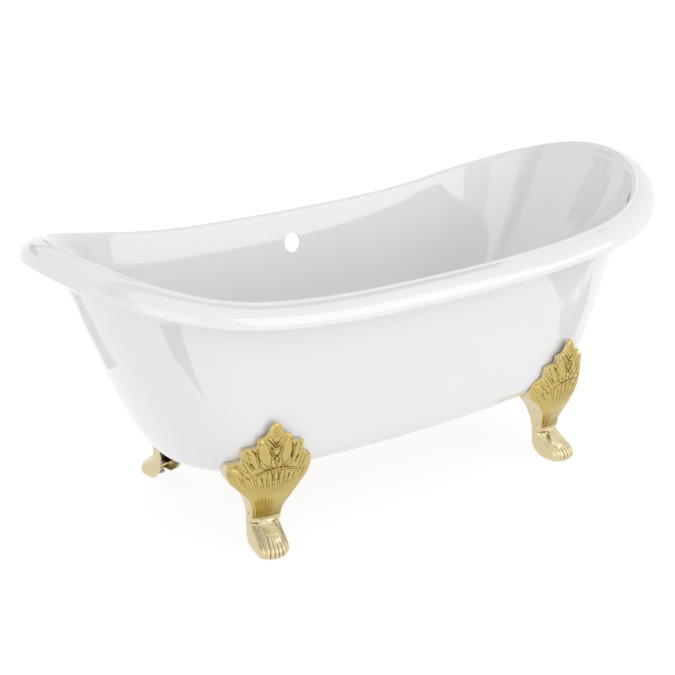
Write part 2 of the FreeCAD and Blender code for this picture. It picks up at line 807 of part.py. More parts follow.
os.makedirs("parts", exist_ok=True)
for label, obj in nodes.items():
    obj.Shape.exportStep("parts/%s.step" % label)
    print("%-30s %2d solid(s) %12.0f mm3" % (label, len(obj.Shape.Solids), obj.Shape.Volume))
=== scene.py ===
import math
from math import cos, pi, radians, sin

import bmesh
import bpy
import numpy
from mathutils import Matrix, Vector


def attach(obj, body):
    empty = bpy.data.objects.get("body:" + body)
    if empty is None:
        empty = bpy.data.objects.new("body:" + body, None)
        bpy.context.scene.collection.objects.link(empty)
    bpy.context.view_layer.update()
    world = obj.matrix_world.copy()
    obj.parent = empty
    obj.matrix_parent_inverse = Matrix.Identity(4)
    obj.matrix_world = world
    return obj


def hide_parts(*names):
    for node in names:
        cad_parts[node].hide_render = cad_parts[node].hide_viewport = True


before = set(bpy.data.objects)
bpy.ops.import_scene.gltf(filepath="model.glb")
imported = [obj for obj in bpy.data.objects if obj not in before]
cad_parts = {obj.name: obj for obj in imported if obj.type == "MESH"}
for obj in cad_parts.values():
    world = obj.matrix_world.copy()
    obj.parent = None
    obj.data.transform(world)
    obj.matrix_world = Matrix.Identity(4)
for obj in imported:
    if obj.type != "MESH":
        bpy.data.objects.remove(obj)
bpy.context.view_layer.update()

print("frame loaded")

# a double-ended slipper bath on claw feet, in metres: +X along the bath, +Y towards the overflow

camera = {
    "place": (-2.104363, -2.826575, 1.669949),
    "azimuth": -35.72,
    "elevation": 20.44,
    "lens": 78.59,
    "sensor": 36.0,
    "pixels": 675,
}

bath = {
    "length": 1.750,
    "width": 0.776,
    "endHeight": 0.748,
    "middleHeight": 0.6185,
    "sheerShare": 0.78,
    "endRadius": 0.306,
    "overhang": 0.074,
    "crestOut": 0.019,
    "valleyOut": 0.0265,
    "valleyDrop": 0.004,
    "rollDrop": 0.0475,
    "rollWall": 0.005,
    "wallTopDrop": 0.0425,
    "footHalfLength": 0.573,
    "footHalfWidth": 0.211,
    "footEndRadius": 0.1846,
    "underside": 0.1824,
    "sideHeel": 0.137,
    "endHeel": 0.038,
    "sideLean": 15.8,
    "endLean": 24.0,
    "sideTopPull": 0.247,
    "endTopPull": 0.161,
    "neckPull": 0.020,
    "neckTopShare": 0.45,  # the pull at the crest, as a share of the pull at the wall
    "underCrest": 0.001,  # how much further out and down the sheet's back is, under the crest
    "underRoll": 0.003,
    "skinWall": 0.0032,
    "bondGap": 0.0006,
    "shellWall": 0.0045,
    "skinTopDrop": 0.025,
    "boardThickness": 0.018,
    "overflowRadius": 0.026,
    "overflowHeight": 0.534,
    "wasteRadius": 0.026,
    "wasteFan": 2.0,  # spreads the floor's lines evenly round the waste hole
    "drillDepth": 0.06,
    "drillSides": 64,
    "sideSteps": 24,  # steps round a quarter of the rim: half the side, then the end
    "endSteps": 36,
    "rings": {  # how many rings each band of a shell has
        "wall": 34, "neck": 12, "roll": 18, "lip": 6,
        "rollBack": 8, "neckBack": 6, "wallBack": 24, "skin": 40, "skinBack": 24,
    },
    "closing": (0.2, 0.4, 0.6, 0.8, 0.93, 1.0),  # shares of a band whose rings close up at its end
    "rollStart": (0.01, 0.03, 0.06),  # shares of the roll's quarter turn, next to the valley
    "rollEven": 0.1,
    "rollBackEnd": 0.96,
    "smoothAngle": 35.0,
}
weld = 0.00002  # points nearer than this are one


def clearSelection():
    if bpy.context.mode != "OBJECT":
        bpy.ops.object.mode_set(mode="OBJECT")
    bpy.ops.object.select_all(action="DESELECT")


def makeActive(piece):
    clearSelection()
    piece.select_set(True)
    bpy.context.view_layer.objects.active = piece


def added(name):
    # the primitive that was just added, under its own name, with its place in its mesh
    piece = bpy.context.object
    piece.name = name
    piece.data.name = name
    bpy.ops.object.transform_apply(location=True, rotation=True, scale=True)
    return piece


def applyAll(piece):
    makeActive(piece)
    for modifier in list(piece.modifiers):
        bpy.ops.object.modifier_apply(modifier=modifier.name)


def ovalQuarter(halfLength, halfWidth, radius):
    # a four-arc oval, from the middle of a side to an end: x, y and the outward direction
    reach = halfLength - radius
    sideRadius = (reach ** 2 + halfWidth ** 2 - radius ** 2) / (2 * (halfWidth - radius))
    join = math.atan2(sideRadius - halfWidth, reach)
    out = []
    for step in range(bath["sideSteps"]):
        angle = pi / 2 + (join - pi / 2) * step / bath["sideSteps"]
        y = halfWidth - sideRadius + sideRadius * sin(angle)
        out.append((sideRadius * cos(angle), y, cos(angle), sin(angle)))
    for step in range(bath["endSteps"] + 1):
        angle = join * (1 - step / bath["endSteps"])
        out.append((reach + radius * cos(angle), radius * sin(angle), cos(angle), sin(angle)))
    return out


def oval(halfLength, halfWidth, radius):
    first = ovalQuarter(halfLength, halfWidth, radius)[::-1]
    ring = list(first)
    ring += [(-x, y, -nx, ny) for x, y, nx, ny in first[:-1][::-1]]
    ring += [(-x, -y, -nx, -ny) for x, y, nx, ny in first[1:]]
    ring += [(x, -y, nx, -ny) for x, y, nx, ny in first[1:-1][::-1]]
    return ring


innerHalfLength = bath["length"] / 2 - bath["overhang"]
innerHalfWidth = bath["width"] / 2 - bath["overhang"]
endRise = bath["endHeight"] - bath["middleHeight"]
wallTotal = bath["skinWall"] + bath["bondGap"] + bath["shellWall"]


def makeStations():
    # the rim, the wall's foot and the wall's lean at each step round the bath
    stations = []
    steep = bath["sheerShare"]
    rimOval = oval(innerHalfLength, innerHalfWidth, bath["endRadius"])
    footOval = oval(bath["footHalfLength"], bath["footHalfWidth"], bath["footEndRadius"])
    for (x, y, nx, ny), (fx, fy, fnx, fny) in zip(rimOval, footOval):
        share = min(1.0, abs(x) / innerHalfLength)
        height = bath["middleHeight"] + endRise * ((1 - steep) * share ** 2 + steep * share ** 4)
        grade = 2 * (1 - steep) * share + 4 * steep * share ** 3
        slope = math.copysign(endRise / innerHalfLength * grade, x)
        out = Vector((nx, ny, 0))
        over = out.cross(Vector((-ny, nx, -ny * slope)))
        over = (over if over.z > 0 else -over).normalized()
        endness = nx * nx
        stations.append({
            "rim": Vector((x, y, height)), "out": out, "over": over,
            "foot": Vector((fx, fy, 0)), "footOut": Vector((fnx, fny, 0)),
            "heel": bath["sideHeel"] + (bath["endHeel"] - bath["sideHeel"]) * endness,
            "pull": bath["sideTopPull"] + (bath["endTopPull"] - bath["sideTopPull"]) * endness,
            "lean": radians(bath["sideLean"] + (bath["endLean"] - bath["sideLean"]) * endness),
        })
    return stations


stations = makeStations()
up = Vector((0, 0, 1))


def bezier(points, t):
    a, b = 1 - t, t
    p, q, r, s = points
    return p * a ** 3 + q * (3 * a * a * b) + r * (3 * a * b * b) + s * b ** 3


def wallRing(depth, floorRise, share):
    ring = []
    for s in stations:
        start = s["foot"] + up * (bath["underside"] + floorRise)
        end = s["rim"] + s["out"] * (wallTotal - depth) - s["over"] * bath["wallTopDrop"]
        low = start + s["footOut"] * s["heel"]
        high = end - (s["out"] * sin(s["lean"]) + up * cos(s["lean"])) * s["pull"]
        ring.append(bezier((start, low, high, end), share))
    return ring


def rimRing(offset, drop):
    return [s["rim"] + s["out"] * offset - s["over"] * drop for s in stations]


def neckRing(depth, offset, drop, share):
    # the wall's lean carried over into the level top of the rim's section
    pull = bath["neckPull"]
    ring = []
    for s in stations:
        start = Vector((wallTotal - depth, -bath["wallTopDrop"]))
        low = start + Vector((sin(s["lean"]), cos(s["lean"]))) * pull
        end = Vector((offset, -drop))
        high = Vector((offset - pull * bath["neckTopShare"], -drop))
        point = bezier((start, low, high, end), share)
        ring.append(s["rim"] + s["out"] * point.x + s["over"] * point.y)
    return ring


def rollRing(inset, turn):
    reach = bath["overhang"] - bath["valleyOut"] - inset
    depth = bath["rollDrop"] - bath["valleyDrop"] - inset
    return rimRing(bath["valleyOut"] + reach * sin(turn), bath["rollDrop"] - depth * cos(turn))


def lapRing(offset, length):
    # the outer skin carried straight on, up under the roll
    ring = []
    for s in stations:
        start = s["rim"] + s["out"] * offset - s["over"] * bath["wallTopDrop"]
        ring.append(start + (s["out"] * sin(s["lean"]) + s["over"] * cos(s["lean"])) * length)
    return ring


def steps(count, low=0.0, high=1.0):
    return [low + (high - low) * i / count for i in range(count + 1)]


def mendMesh(piece, merge=False, outwards=False):
    # points that lie together merged, and faces turned the right way out
    makeActive(piece)
    bpy.ops.object.mode_set(mode="EDIT")
    bpy.ops.mesh.select_all(action="SELECT")
    if merge:
        bpy.ops.mesh.remove_doubles(threshold=weld)
        bpy.ops.mesh.select_all(action="SELECT")
    if outwards:
        bpy.ops.mesh.normals_make_consistent(inside=False)
    bpy.ops.object.mode_set(mode="OBJECT")


def shellFromRings(name, rings):
    # a circle primitive, extruded and set ring by ring; the last ring lies on the first, and is merged
    clearSelection()
    bpy.ops.mesh.primitive_circle_add(vertices=len(stations), radius=1.0, fill_type="NOTHING")
    piece = added(name)
    bpy.ops.object.mode_set(mode="EDIT")
    bpy.ops.mesh.select_mode(type="EDGE")
    mesh = bmesh.from_edit_mesh(piece.data)
    station = mesh.verts.layers.int.new("station")
    ordered = sorted(mesh.verts, key=lambda v: math.atan2(v.co.y, v.co.x) % (2 * pi))
    for number, vert in enumerate(ordered):
        vert[station] = number
        vert.co = rings[0][number]
    for ring in rings[1:]:
        bpy.ops.mesh.extrude_edges_move()
        mesh = bmesh.from_edit_mesh(piece.data)
        station = mesh.verts.layers.int["station"]
        for vert in mesh.verts:
            if vert.select:
                vert.co = ring[vert[station]]
    bmesh.update_edit_mesh(piece.data)
    mendMesh(piece, merge=True, outwards=True)
    return piece


def cutAway(tool, *pieces):
    for piece in pieces:
        modifier = piece.modifiers.new("cut", "BOOLEAN")
        modifier.operation = "DIFFERENCE"
        modifier.solver = "EXACT"
        modifier.object = tool
        applyAll(piece)
    bpy.data.objects.remove(tool)


# the inner shell: bowl, bead, valley and rolled rim in one sheet

boardTop = bath["underside"] + bath["boardThickness"]
floorTop = boardTop + bath["shellWall"]


def floorRings(height, inwards):
    # from the bowl's oval to the waste hole, or back
    outer = [s["foot"] + up * height for s in stations]
    hole = []
    for s in stations:
        direction = Vector((s["foot"].x, s["foot"].y * bath["wasteFan"], 0)).normalized()
        hole.append(direction * bath["wasteRadius"] + up * height)
    rings = []
    for share in (0.0, *bath["closing"]):
        rings.append([a.lerp(b, share) for a, b in zip(outer, hole)])
    return rings if inwards else rings[::-1]


def innerShellRings():
    count = bath["rings"]
    rise = bath["boardThickness"] + bath["shellWall"]
    rings = floorRings(floorTop, inwards=False)
    rings += [wallRing(wallTotal, rise, t) for t in steps(count["wall"])[1:]]
    rings += [neckRing(wallTotal, bath["crestOut"], 0.0, t) for t in steps(count["neck"])[1:]]
    for t in bath["closing"]:
        offset = bath["crestOut"] + (bath["valleyOut"] - bath["crestOut"]) * t
        rings.append(rimRing(offset, bath["valleyDrop"] * t * t))
    half = bath["rollWall"] / 2
    lipTurn = math.acos(half / (bath["rollDrop"] - bath["valleyDrop"])) / (pi / 2)
    rollShares = (*bath["rollStart"], *steps(count["roll"], bath["rollEven"], lipTurn))
    rings += [rollRing(0.0, pi / 2 * t) for t in rollShares]
    for turn in steps(count["lip"])[1:-1]:
        offset = bath["overhang"] - half + half * cos(pi * turn)
        rings.append(rimRing(offset, bath["rollDrop"] - half + half * sin(pi * turn)))
    backShares = steps(count["rollBack"], 0.0, bath["rollBackEnd"])[::-1]
    rings += [rollRing(bath["rollWall"], pi / 2 * t) for t in backShares]
    back = bath["skinWall"] + bath["bondGap"]
    offset, drop = bath["crestOut"] + bath["underCrest"], bath["rollWall"] + bath["underRoll"]
    rings += [neckRing(back, offset, drop, t) for t in steps(count["neckBack"])[:-1][::-1]]
    rings += [wallRing(back, bath["boardThickness"], t) for t in steps(count["wallBack"])[:-1][::-1]]
    rings += floorRings(boardTop, inwards=True)[1:]
    rings.append(floorRings(floorTop, inwards=True)[-1])
    return rings


innerShell = shellFromRings("bathShell", innerShellRings())
print("inner shell", len(innerShell.data.polygons))

# the outer skin, open round the base board and tucked up under the roll


def outerSkinRings():
    lap = bath["wallTopDrop"] - bath["skinTopDrop"]
    skin = bath["skinWall"]
    rings = [wallRing(0.0, 0.0, t) for t in steps(bath["rings"]["skin"])]
    rings += [lapRing(wallTotal, lap * t) for t in (0.5, 1.0)]
    rings += [lapRing(wallTotal - skin, lap * t) for t in (1.0, 0.5)]
    rings += [wallRing(skin, skin, t) for t in steps(bath["rings"]["skinBack"])[::-1]]
    rings.append(wallRing(0.0, 0.0, 0.0))
    return rings


outerSkin = shellFromRings("bathSkin", outerSkinRings())
print("outer skin", len(outerSkin.data.polygons))


def backWallAt(height):
    # where the middle of the back wall's outside face is at a height, and its outward direction
    middle = max(range(len(stations)), key=lambda i: stations[i]["rim"].y)

    def onWall(share):
        return wallRing(0.0, 0.0, share)[middle]

    low, high, nearby = 0.0, 1.0, 0.01
    for _ in range(24):
        share = (low + high) / 2
        if onWall(share).z < height:
            low = share
        else:
            high = share
    rise = onWall(low + nearby) - onWall(low - nearby)
    return onWall(low), Vector((0, rise.z, -rise.y)).normalized()


def drillOverflow():
    place, outward = backWallAt(bath["overflowHeight"])
    clearSelection()
    bpy.ops.mesh.primitive_cylinder_add(
        vertices=bath["drillSides"], radius=bath["overflowRadius"], depth=bath["drillDepth"],
        location=place, rotation=outward.to_track_quat("Z", "X").to_euler(),
    )
    cutAway(added("drill"), innerShell, outerSkin)


drillOverflow()
print("bath modelled")

# the claw feet: the casting's own solid with its leaf, panel and toes carved on, cast into one skin

foot = {
    "place": (0.447, 0.258),
    "toeAngle": 80.0,
    "screwPlace": 0.009,
    "boltPlaces": (-0.115, -0.160),
    "screwBore": {"height": 0.03, "radius": 0.0056, "depth": 0.03},
    "boltBore": {"height": 0.178, "radius": 0.0058, "depth": 0.03},
    "boreSides": 40,
    "seat": {"location": (-0.13, 0, 0.1922), "scale": (0.14, 0.1, 0.02)},
    "castGrain": 0.002,
    "castEase": 8,
    "grain": 0.0013,
    "ease": 3,
    "smoothAngle": 60.0,
    "leafBottom": 0.084,
    "leafBack": -0.035,  # the leaf stands in front of this
    "tipBottom": 0.2,
    # how the casting is set to its outline; heights and what goes with them are in mm
    "frontHeights": (2, 346, 4),
    "frontAside": 0.004,
    "pawShift": ((0, -6.5), (70, -6.5), (86, -5), (102, -3), (132, 0), (350, 0)),
    "pawSquat": ((0, 1.0), (25, 0.93), (55, 0.88), (75, 0.9), (100, 1.0), (350, 1.0)),
    "draft": ((0, 0), (55, 1), (90, 3.5), (120, 6.5), (205, 7.5), (238, 0), (350, 0)),
    "tipLift": ((0, 0), (262, 0), (300, 4), (330, 10), (350, 12)),
    "tipDrop": ((0, 0), (285, 0), (350, -4)),
    "draftDepth": 0.040,
    "draftSide": 0.02,
    "tipDepth": (0.002, 0.02),
    "webClear": (0.014, 0.030),
    "lugBottom": 100,
    "lugFront": -0.05,
    # how a carved form is laid on the front
    "rayStart": 0.3,
    "drawSteps": 30,
    "drawIn": 0.6,
    "drawDown": 0.02,
    "formBack": -0.045,
    "formFacing": 0.3,
    "formSides": 14,
    "formRings": 18,
    "formRound": 0.6,
    "sink": 0.002,
    # the flutes, the tongues between them and the toes, in mm
    "sideLine": (
        (80, 32), (96, 34), (118, 40), (144, 54), (168, 71), (189, 90), (213, 101), (240, 102),
    ),
    "neck": 87,
    "archTop": 205,
    "archRise": 0.53,
    "flutes": 6,  # on each side of the middle one
    "fluteEdge": 0.9,
    "tongueBottom": 132,
    "tongueStagger": 3,
    "tongueDrop": 9,
    "toes": 5,
    "toePitch": 10.5,
    "toePath": ((0.72, 56), (0.84, 43), (0.95, 30), (1, 16), (1, 3)),
}
mm = 0.001


def along(line, place):
    # the value at a place on a line of (place, value) points
    for (low, near), (high, far) in zip(line, line[1:]):
        if place <= high:
            return near + (far - near) * max(0.0, place - low) / (high - low)
    return line[-1][1]


def footMatrix(lengthwise, sideways):
    toe = radians(foot["toeAngle"])
    turn = math.atan2(sideways * sin(toe), lengthwise * cos(toe))
    place = Matrix.Translation((lengthwise * foot["place"][0], sideways * foot["place"][1], 0))
    return place @ Matrix.Rotation(turn, 4, "Z")


def placedCopy(name, mesh, matrix):
    # a copy of a mesh as a new piece, with its place in its mesh
    piece = bpy.data.objects.new(name, mesh.copy())
    piece.data.name = name
    bpy.context.scene.collection.objects.link(piece)
    piece.matrix_world = matrix
    makeActive(piece)
    bpy.ops.object.transform_apply(location=True, rotation=True, scale=True)
    return piece


def evenSkin(piece, grain):
    skin = piece.modifiers.new("skin", "REMESH")
    skin.mode = "VOXEL"
    skin.voxel_size = grain
    applyAll(piece)


def easeSkin(piece, rounds, group=""):
    ease = piece.modifiers.new("ease", "SMOOTH")
    ease.vertex_group = group
    ease.factor = 0.5
    ease.iterations = rounds
    applyAll(piece)


def castingCopy():
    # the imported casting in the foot's own frame, X out to the toes and Z up, its leaf's tips worn round
    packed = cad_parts["claw_foot_front_left"].data
    casting = placedCopy("casting", packed, footMatrix(-1, -1).inverted())
    mendMesh(casting, merge=True)
    evenSkin(casting, foot["castGrain"])
    tips = casting.vertex_groups.new(name="tips")
    for vert in casting.data.vertices:
        tip = vert.co.x > foot["leafBack"] and vert.co.z > foot["tipBottom"]
        tips.add([vert.index], 1.0 if tip else 0.0, "REPLACE")
    easeSkin(casting, foot["castEase"], "tips")
    casting.vertex_groups.clear()
    return casting


def frontAt(casting, across, height):
    # where a line from before the foot meets it, and which way it faces there
    start = Vector((foot["rayStart"], across, height))
    return casting.ray_cast(start, Vector((-1, 0, 0)))[:3]


def frontLine(casting):
    # how far out the casting's front stands at each height
    line = []
    for height in range(*foot["frontHeights"]):
        hit, place, _ = frontAt(casting, foot["frontAside"], height * mm)
        if hit:
            line.append((height, place.x))
    return line


def eased(value, low, high):
    share = max(0.0, min(1.0, (value - low) / (high - low)))
    return share * share * (3 - 2 * share)


def settle(casting):
    # the paw set over to its side and lower, the flanks flared to the back, the leaf's tip thin and free
    front = frontLine(casting)
    for vert in casting.data.vertices:
        place, height = vert.co, vert.co.z / mm
        depth = along(front, height) - place.x
        clear = eased(math.hypot(place.x - foot["screwPlace"], place.y), *foot["webClear"])
        if height > foot["lugBottom"] and place.x < foot["lugFront"]:
            clear = 0.0
        back = eased(depth, 0.0, foot["draftDepth"]) * clear
        side = math.copysign(eased(abs(place.y), 0.0, foot["draftSide"]), place.y)
        shift = along(foot["pawShift"], height) * clear + along(foot["draft"], height) * back * side
        free = eased(depth, *foot["tipDepth"]) if place.x > foot["leafBack"] else 0.0
        lift = along(foot["tipLift"], height) * free
        drop = along(foot["tipDrop"], height)
        squat = 1 + (along(foot["pawSquat"], height) - 1) * clear
        vert.co = Vector((place.x + lift * mm, place.y + shift * mm, place.z * squat + drop * mm))


casting = castingCopy()
settle(casting)


def onFront(across, height, lift):
    # a point that stands proud of the casting's front, drawn in where the casting ends
    for pull in steps(foot["drawSteps"]):
        inward, lower = 1 - foot["drawIn"] * pull, foot["drawDown"] * pull
        hit, place, facing = frontAt(casting, across * inward, height - lower)
        if hit and place.x > foot["formBack"] and facing.x > foot["formFacing"]:
            return Vector((place.x + lift, place.y, place.z))
    return Vector((lift, 0, height))


def alongPath(path, share):
    # a smooth curve through the path's points, and its direction
    spans = len(path) - 1
    span = min(int(share * spans), spans - 1)
    t = share * spans - span
    before, here = Vector(path[max(span - 1, 0)]), Vector(path[span])
    there, after = Vector(path[span + 1]), Vector(path[min(span + 2, spans)])
    start, finish = (there - before) / 2, (after - here) / 2
    a, b, c = 2 * (here - there) + start + finish, 3 * (there - here) - 2 * start - finish, start
    place = ((a * t + b) * t + c) * t + here
    return place, ((3 * a * t + 2 * b) * t + c).normalized()


def relief(name, path, width, height, ends=0.5, belly=1.0, square=1.0):
    # one carved form: a ball drawn out along a path of (across, up) in mm and laid on the front
    clearSelection()
    sides, rings = foot["formSides"], foot["formRings"]
    bpy.ops.mesh.primitive_uv_sphere_add(segments=sides, ring_count=rings, radius=1.0)
    form = added(name)
    for vert in form.data.vertices:
        share = math.acos(max(-1.0, min(1.0, -vert.co.z))) / pi
        ring = max(1e-6, math.hypot(vert.co.x, vert.co.y))
        side, rise = vert.co.x / ring, vert.co.y / ring
        side = math.copysign(abs(side) ** square, side)
        spread = max(0.0, sin(pi * share ** belly)) ** ends
        wide = width[0] + (width[1] - width[0]) * share
        high = height[0] + (height[1] - height[0]) * share
        place, direction = alongPath(path, share)
        place += Vector((direction.y, -direction.x)) * (wide / 2 * spread * side)
        proud = foot["sink"] * rise
        if rise > 0:
            proud = high * mm * spread ** foot["formRound"] * rise ** square
        vert.co = onFront(place.x * mm, place.y * mm, proud)
    return form


def bothSides(name, path, width, height, **shape):
    return [relief(name, [(side * u, z) for u, z in path], width, height, **shape) for side in (-1, 1)]


def topLeaflet():
    path = [(0, 295), (0, 318), (0, 345)]
    forms = [relief("topLeaflet", path, (37, 37), (3.4, 3.0), ends=0.8, belly=0.72)]
    forms.append(relief("topVein", [(0, 299), (0, 318), (0, 339)], (3.0, 2.0), (4.6, 4.4)))
    for step in range(3):
        path = [(0, 302 + 9 * step), (6 - step, 309 + 9 * step), (13 - 3.6 * step, 319 + 8 * step)]
        forms += bothSides("sideVein", path, (2.6, 1.8), (4.4, 3.8))
    forms += bothSides("collar", [(22, 310), (11, 299), (1, 284)], (4.6, 4.6), (4.8, 5.4))
    forms.append(relief("cup", [(-12, 288), (-5, 281), (5, 281), (12, 288)], (3.6, 3.6), (4.6, 4.6)))
    return forms


def petals():
    forms = []
    full, blunt = {"ends": 0.62, "belly": 1.15}, {"ends": 0.7}
    for name, path, width, height, shape in (
        ("bigPetal", [(17, 237), (27, 263), (32, 297)], (25, 27), (3.2, 4.2), full),
        ("sidePetal", [(43, 235), (52, 255), (62, 279)], (15, 17), (3.0, 4.0), {**full, "belly": 1.1}),
        ("ribbon", [(17, 288), (12, 272), (1, 257), (-13, 243), (-27, 232)], (3.4, 3.0), (5.2, 4.8), {}),
        ("petalEdge", [(36, 234), (44, 256), (48, 288)], (3.0, 2.4), (5.0, 4.6), {}),
        ("petalEdge", [(52, 230), (64, 250), (71, 274)], (3.4, 2.4), (4.8, 4.4), {}),
        ("petalRidge", [(18, 246), (27, 265), (31, 287)], (2.6, 1.8), (4.2, 5.4), {}),
        ("petalRidge", [(44, 242), (52, 256), (60, 272)], (2.4, 1.6), (4.0, 5.0), {}),
        ("innerPetal", [(4, 232), (9, 241), (9, 252)], (11, 9), (2.6, 3.6), blunt),
        ("innerPetal", [(22, 231), (31, 239), (37, 250)], (9, 7), (2.6, 4.0), blunt),
    ):
        forms += bothSides(name, path, width, height, **shape)
    return forms


def lobes():
    forms = []
    for path, wide in (
        ([(27, 290), (34, 298), (42, 305)], 13),
        ([(58, 248), (68, 264), (75, 279)], 15),
        ([(74, 208), (89, 222), (101, 233)], 17),
        ([(66, 226), (76, 237), (80, 251)], 12),
        ([(56, 207), (66, 219), (78, 231)], 11),
        ([(46, 275), (53, 285), (58, 290)], 9),
    ):
        forms += bothSides("lobe", path, (wide, wide * 0.7), (2.6, 3.2), ends=0.7)
        forms += bothSides("lobeVein", path, (2.6, 1.8), (4.6, 4.2))
    return forms


def archAndFan():
    path = [(-54, 214), (-28, 224), (0, 228), (28, 224), (54, 214)]
    forms = [relief("arch", path, (3.4, 3.4), (5.0, 5.0))]
    for place in (-17, 0, 17):
        path = [(0.7 * place, 196), (0.9 * place, 210), (place, 223)]
        forms.append(relief("fanLeaf", path, (9, 11), (3.0, 5.0), ends=0.7))
        forms.append(relief("fanVein", path, (2.0, 2.0), (4.6, 6.2)))
    forms += bothSides("tuft", [(29, 184), (37, 196), (40, 211)], (8, 10), (3.0, 5.6), ends=0.7)
    forms += bothSides("tuft", [(50, 180), (58, 192), (66, 205)], (7, 9), (3.0, 5.0), ends=0.7)
    return forms


def flute(share, bottom, top, width, height):
    path = []
    for z in steps(6, bottom, top):
        path.append((share * along(foot["sideLine"], z) + along(foot["pawShift"], z), z))
    return relief("flute", path, width, height, ends=0.3)


def flutes():
    # ribs up the leg that widen to the arch, and a thin tongue between each two
    forms = []
    half = foot["flutes"]
    count = half + foot["fluteEdge"]
    for number in range(-half, half + 1):
        top = foot["archTop"] + foot["archRise"] * number ** 2
        forms.append(flute(number / count, foot["neck"], top, (5.4, 11.5), (2.0, 3.4)))
    for number in range(-half, half):
        bottom = foot["tongueBottom"] + foot["tongueStagger"] * (number % 3)
        top = foot["archTop"] - foot["tongueDrop"] + foot["archRise"] * (number + 0.5) ** 2
        forms.append(flute((number + 0.5) / count, bottom, top, (1.8, 3.6), (2.6, 5.0)))
    return forms


def ankleAndToes():
    over = foot["pawShift"][0][1]
    panel = [(over + 1.5, 79), (over + 0.5, 65), (over, 51)]
    forms = [relief("anklePanel", panel, (49, 35), (1.4, 2.2), ends=0.05, square=0.3)]
    half = foot["toes"] // 2
    for number in range(-half, half + 1):
        across = number * foot["toePitch"]
        path = [(over + share * across, z) for share, z in foot["toePath"]]
        forms.append(relief("toe", path, (7.8, 9.0), (1.0, 3.0), ends=0.25))
    return forms


def bored(piece):
    # the bores and the lug's seat, cut again where the skin has softened them
    bores = [(foot["screwPlace"], foot["screwBore"])]
    bores += [(place, foot["boltBore"]) for place in foot["boltPlaces"]]
    for place, bore in bores:
        clearSelection()
        bpy.ops.mesh.primitive_cylinder_add(
            vertices=foot["boreSides"], radius=bore["radius"], depth=bore["depth"],
            location=(place, 0, bore["height"]),
        )
        cutAway(added("drill"), piece)
    clearSelection()
    bpy.ops.mesh.primitive_cube_add(size=1, **foot["seat"])
    cutAway(added("seat"), piece)


# painted shade on the casting: dark in its hollows and on a line above the toes, darker towards the
# leaf's root
tones = {
    "around": 5,  # how many rings of points a hollow is measured over
    # how dark the painted shade is for a hollow one mm deep
    "hollow": 3.2,
    "carvedFacing": 0.3,
    "rootTop": 0.132,  # the leaf's root darkens downwards from here
    "rootFade": 0.034,
    "rootShare": 0.3,
    "toeLine": 0.047,  # painted shade between the ankle and the toes
    "toeLineFade": 0.008,
    "toeLineReach": 22,
    "toeLineFacing": 0.2,
    "toeLineShare": 0.12,
}


def markTones(piece):
    # two values at each point: painted shade, 1 in the hollows between the forms and on a line above the
    # toes, darker towards the leaf's root; and 1 on the carved face of the leaf
    mesh = piece.data
    count = len(mesh.vertices)
    places, facings = numpy.empty(count * 3), numpy.empty(count * 3)
    mesh.vertices.foreach_get("co", places)
    mesh.vertices.foreach_get("normal", facings)
    edges = numpy.empty(len(mesh.edges) * 2, dtype=int)
    mesh.edges.foreach_get("vertices", edges)
    places, facings, edges = places.reshape(-1, 3), facings.reshape(-1, 3), edges.reshape(-1, 2)
    number = numpy.bincount(edges.ravel(), minlength=count).clip(1)

    def spread(values, times):
        for _ in range(times):
            total = numpy.zeros_like(values)
            numpy.add.at(total, edges[:, 0], values[edges[:, 1]])
            numpy.add.at(total, edges[:, 1], values[edges[:, 0]])
            values = 0.5 * values + 0.5 * (total.T / number).T
        return values

    out, height = places[:, 0], places[:, 2]
    hollow = ((spread(places, tones["around"]) - places) * facings).sum(axis=1) / mm
    leaf = (height > foot["leafBottom"]) & (out > foot["leafBack"])
    leaf = leaf & (facings[:, 0] > tones["carvedFacing"])
    root = numpy.clip((tones["rootTop"] - height) / tones["rootFade"], 0, 1) * leaf
    aside = numpy.abs(places[:, 1] / mm - foot["pawShift"][0][1])
    toeLine = numpy.exp(-((height - tones["toeLine"]) / tones["toeLineFade"]) ** 2)
    toeLine = toeLine * (aside < tones["toeLineReach"]) * (facings[:, 0] > tones["toeLineFacing"])
    # painted shade: the hollows' depth, the leaf's root and the line above the toes, added up
    paintedShade = numpy.clip(spread(hollow, 1) * tones["hollow"], -1, 1)
    paintedShade = paintedShade + tones["rootShare"] * spread(root, 3) + tones["toeLineShare"] * spread(toeLine, 3)
    for name, values in (("paintedShade", paintedShade), ("leafTone", spread(leaf * 1.0, 2))):
        mesh.attributes.new(name, "FLOAT", "POINT").data.foreach_set("value", values)


def carveFoot():
    forms = topLeaflet() + petals() + lobes() + archAndFan() + flutes() + ankleAndToes()
    makeActive(casting)
    for form in forms:
        form.select_set(True)
    bpy.ops.object.join()
    evenSkin(casting, foot["grain"])
    easeSkin(casting, foot["ease"])
    bored(casting)
    markTones(casting)


def footCopy(name, lengthwise, sideways):
    # the other three feet mirror the first, so their faces are turned the right way out again
    mirror = Matrix.Diagonal((-lengthwise, -sideways, 1, 1))
    piece = placedCopy(name, casting.data, mirror @ footMatrix(-1, -1))
    mendMesh(piece, outwards=True)
    bpy.ops.object.shade_smooth_by_angle(angle=radians(foot["smoothAngle"]))
    return piece


carveFoot()
feet = {}
for lengthwise, sideways in ((-1, -1), (1, -1), (-1, 1), (1, 1)):
    corner = ("front" if sideways < 0 else "back") + ("_left" if lengthwise < 0 else "_right")
    feet[corner] = footCopy("clawFoot" + corner.title().replace("_", ""), lengthwise, sideways)
bpy.data.objects.remove(casting)
print("feet carved", len(feet["front_left"].data.polygons))


